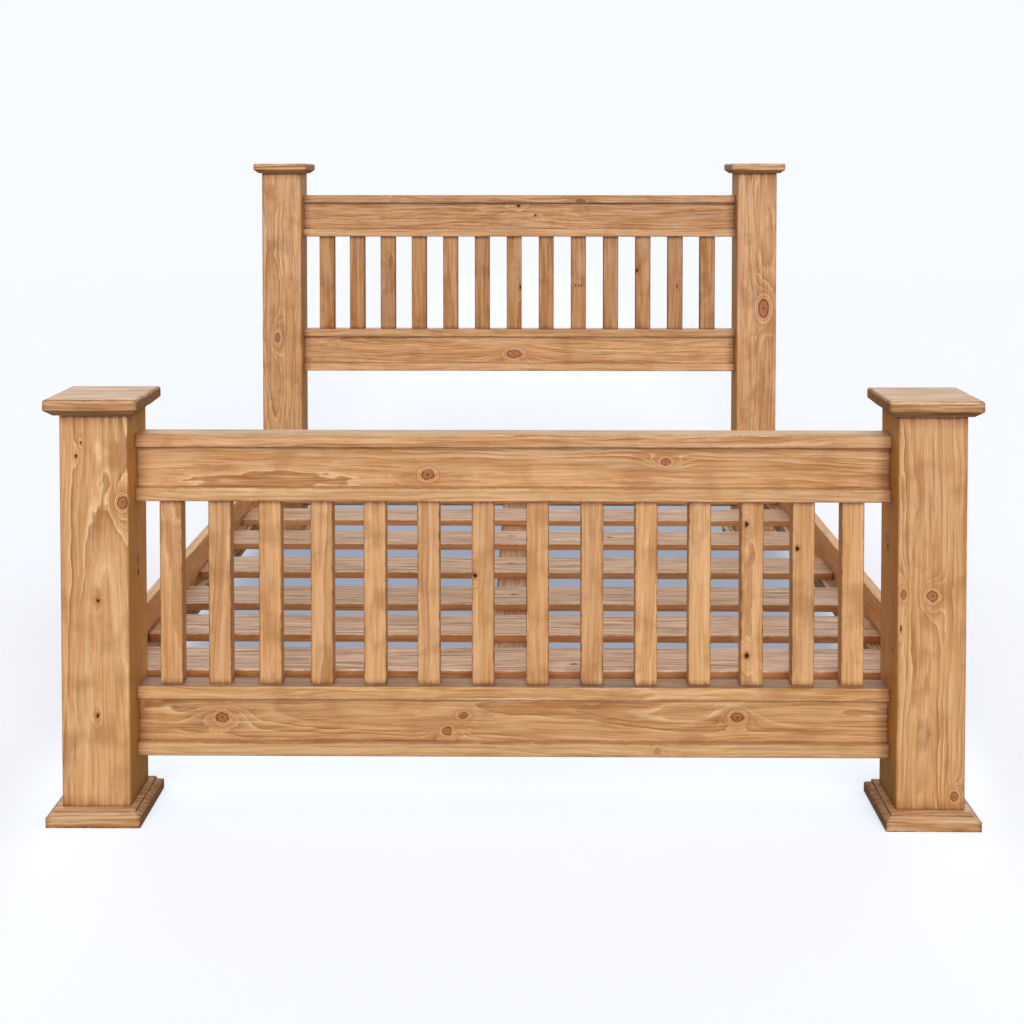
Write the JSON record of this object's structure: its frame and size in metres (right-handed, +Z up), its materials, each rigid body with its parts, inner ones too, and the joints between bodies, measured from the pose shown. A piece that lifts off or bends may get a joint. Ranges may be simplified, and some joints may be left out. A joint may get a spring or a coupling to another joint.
{
  "type": "spindle bed",
  "caption": "Pine bed frame with square capped posts, spindled headboard and lower spindled footboard, side rails and slats.",
  "frame": {"origin": "on the floor, under the middle of the bed's overall box", "axes": "+Z up; +Y from the footboard towards the headboard; +X to the right as seen from the foot end"},
  "size_m": [1.81, 2.326, 1.3],
  "materials": {
    "post_pine": "waxed knotty pine, satin",
    "cap_pine": "waxed pine, satin, worn along its edges",
    "rail_pine": "waxed knotty pine, satin",
    "spindle_pine": "waxed pine, satin",
    "slat_pine": "planed pine, unwaxed and dull",
    "zinc_steel": "zinc plated, satin"
  },
  "bodies": {
    "root": {"bracket_screws": "zinc_steel", "centre_leg_foot_end": "slat_pine", "centre_leg_head_end": "slat_pine", "centre_rail": "slat_pine", "corner_brackets": "zinc_steel", "foot_cap_left": "cap_pine", "foot_cap_right": "cap_pine", "foot_lower_capping": "rail_pine", "foot_lower_rail": "rail_pine", "foot_plinth_left": "cap_pine", "foot_plinth_right": "cap_pine", "foot_post_left": "post_pine", "foot_post_right": "post_pine", "foot_spindle_01": "spindle_pine", "foot_spindle_02": "spindle_pine", "foot_spindle_03": "spindle_pine", "foot_spindle_04": "spindle_pine", "foot_spindle_05": "spindle_pine", "foot_spindle_06": "spindle_pine", "foot_spindle_07": "spindle_pine", "foot_spindle_08": "spindle_pine", "foot_spindle_09": "spindle_pine", "foot_spindle_10": "spindle_pine", "foot_spindle_11": "spindle_pine", "foot_spindle_12": "spindle_pine", "foot_spindle_13": "spindle_pine", "foot_spindle_14": "spindle_pine", "foot_top_capping": "rail_pine", "foot_top_rail": "rail_pine", "head_base_rail": "slat_pine", "head_cap_left": "cap_pine", "head_cap_right": "cap_pine", "head_lower_capping": "rail_pine", "head_lower_rail": "rail_pine", "head_plinth_left": "cap_pine", "head_plinth_right": "cap_pine", "head_post_left": "post_pine", "head_post_right": "post_pine", "head_spindle_01": "spindle_pine", "head_spindle_02": "spindle_pine", "head_spindle_03": "spindle_pine", "head_spindle_04": "spindle_pine", "head_spindle_05": "spindle_pine", "head_spindle_06": "spindle_pine", "head_spindle_07": "spindle_pine", "head_spindle_08": "spindle_pine", "head_spindle_09": "spindle_pine", "head_spindle_10": "spindle_pine", "head_spindle_11": "spindle_pine", "head_spindle_12": "spindle_pine", "head_spindle_13": "spindle_pine", "head_top_capping": "rail_pine", "head_top_rail": "rail_pine", "side_rail_left": "rail_pine", "side_rail_right": "rail_pine", "slat_ledger_left": "slat_pine", "slat_ledger_right": "slat_pine", "slats": "slat_pine"}
  },
  "joints": []
}
